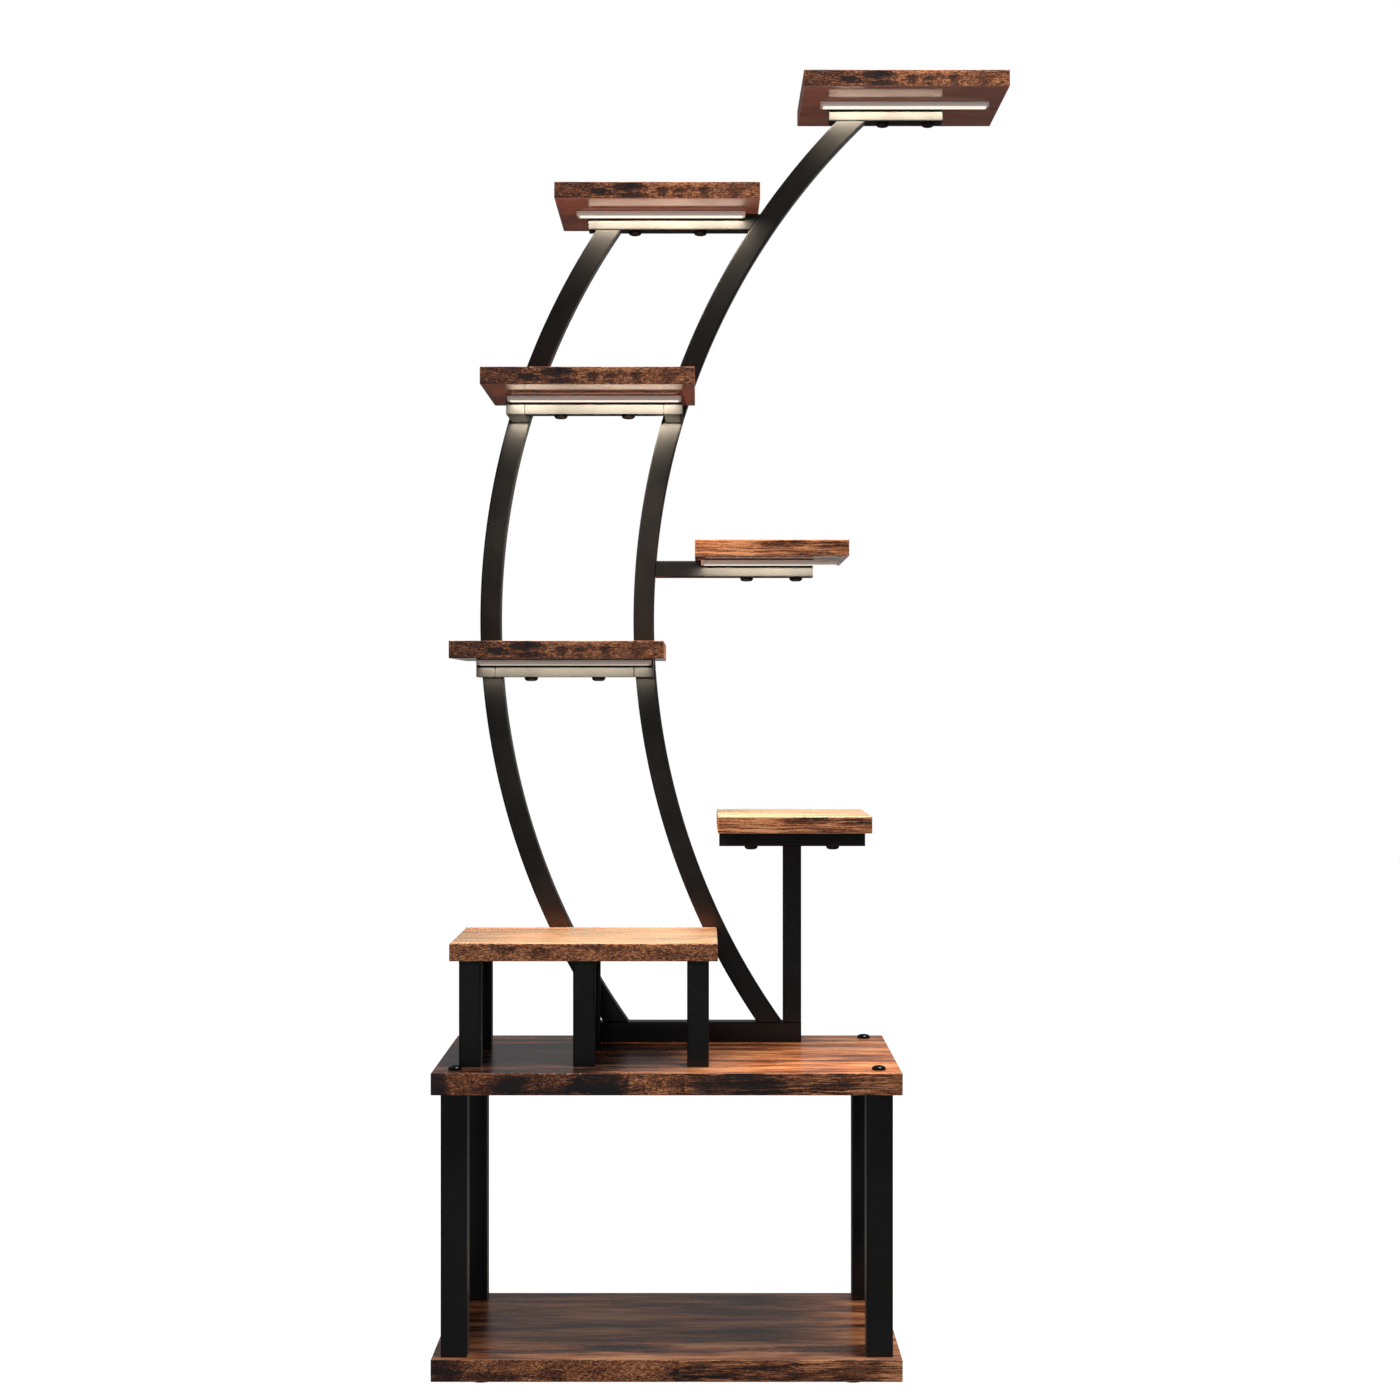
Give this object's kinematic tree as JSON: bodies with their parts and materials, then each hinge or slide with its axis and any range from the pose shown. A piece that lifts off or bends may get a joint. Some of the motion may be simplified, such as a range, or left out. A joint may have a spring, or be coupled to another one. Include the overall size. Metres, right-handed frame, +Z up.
{
  "type": "plant stand with grow lights",
  "caption": "Tall plant stand with a two-board base, a small bench, a half-moon frame of bent square tubes, square wooden shelves and slim grow-light bars under them.",
  "frame": {"origin": "on the floor, under the middle of the whole stand's bounding box", "axes": "+Z up, +X to the right as seen from the front, +Y towards the back"},
  "size_m": [0.669, 0.3474, 1.5177],
  "materials": {
    "rustic_board": "dark rustic brown wood print on board, satin",
    "black_tube": "black satin powder coat on square steel tube",
    "foot_plastic": "matte black plastic pad on a threaded stud",
    "bolt_steel": "black oxide, slightly glossy",
    "light_housing": "satin",
    "light_diffuser": "milky translucent plastic, glows warm white",
    "light_circuit": "white circuit strip with small square LEDs"
  },
  "bodies": {
    "root": {"bottom_board": "rustic_board", "middle_board": "rustic_board", "bench_board": "rustic_board", "shelf_top": "rustic_board", "shelf_upper": "rustic_board", "shelf_middle": "rustic_board", "shelf_lower": "rustic_board", "shelf_side_upper": "rustic_board", "shelf_side_lower": "rustic_board", "leg_front_left": "black_tube", "leg_front_right": "black_tube", "leg_back_left": "black_tube", "leg_back_right": "black_tube", "bench_frame_left": "black_tube", "bench_frame_middle": "black_tube", "bench_frame_right": "black_tube", "foot_bar": "black_tube", "arc_left_lower": "black_tube", "arc_left_middle": "black_tube", "arc_left_upper": "black_tube", "arc_right_lower": "black_tube", "arc_right_middle": "black_tube", "arc_right_upper": "black_tube", "side_stand": "black_tube", "side_arm": "black_tube", "crossbar_upper": "black_tube", "crossbar_top": "black_tube", "bracket_lower": "black_tube", "bracket_middle": "black_tube", "shelf_bolt_top_left": "bolt_steel", "shelf_bolt_top_right": "bolt_steel", "shelf_bolt_upper_left": "bolt_steel", "shelf_bolt_upper_right": "bolt_steel", "shelf_bolt_middle_left": "bolt_steel", "shelf_bolt_middle_right": "bolt_steel", "shelf_bolt_lower_left": "bolt_steel", "shelf_bolt_lower_right": "bolt_steel", "shelf_bolt_side_upper_left": "bolt_steel", "shelf_bolt_side_upper_right": "bolt_steel", "shelf_bolt_side_lower_left": "bolt_steel", "shelf_bolt_side_lower_right": "bolt_steel", "light_housing_top": "light_housing", "light_housing_upper": "light_housing", "light_housing_middle": "light_housing", "light_housing_lower": "light_housing", "light_housing_side_upper": "light_housing", "light_diffuser_top": "light_diffuser", "light_diffuser_upper": "light_diffuser", "light_diffuser_middle": "light_diffuser", "light_diffuser_lower": "light_diffuser", "light_diffuser_side_upper": "light_diffuser", "light_circuit_top": "light_circuit", "light_circuit_upper": "light_circuit", "light_circuit_middle": "light_circuit", "light_circuit_lower": "light_circuit", "light_circuit_side_upper": "light_circuit"},
    "foot_front_left": {"levelling_foot_front_left": "foot_plastic"},
    "foot_front_right": {"levelling_foot_front_right": "foot_plastic"},
    "foot_back_left": {"levelling_foot_back_left": "foot_plastic"},
    "foot_back_right": {"levelling_foot_back_right": "foot_plastic"}
  },
  "joints": [
    {"name": "level_front_left", "type": "slide", "parent": "root", "child": "foot_front_left", "axis": [0, 0, -1], "range_m": [0, 0.008]},
    {"name": "level_front_right", "type": "slide", "parent": "root", "child": "foot_front_right", "axis": [0, 0, -1], "range_m": [0, 0.008]},
    {"name": "level_back_left", "type": "slide", "parent": "root", "child": "foot_back_left", "axis": [0, 0, -1], "range_m": [0, 0.008]},
    {"name": "level_back_right", "type": "slide", "parent": "root", "child": "foot_back_right", "axis": [0, 0, -1], "range_m": [0, 0.008]}
  ]
}
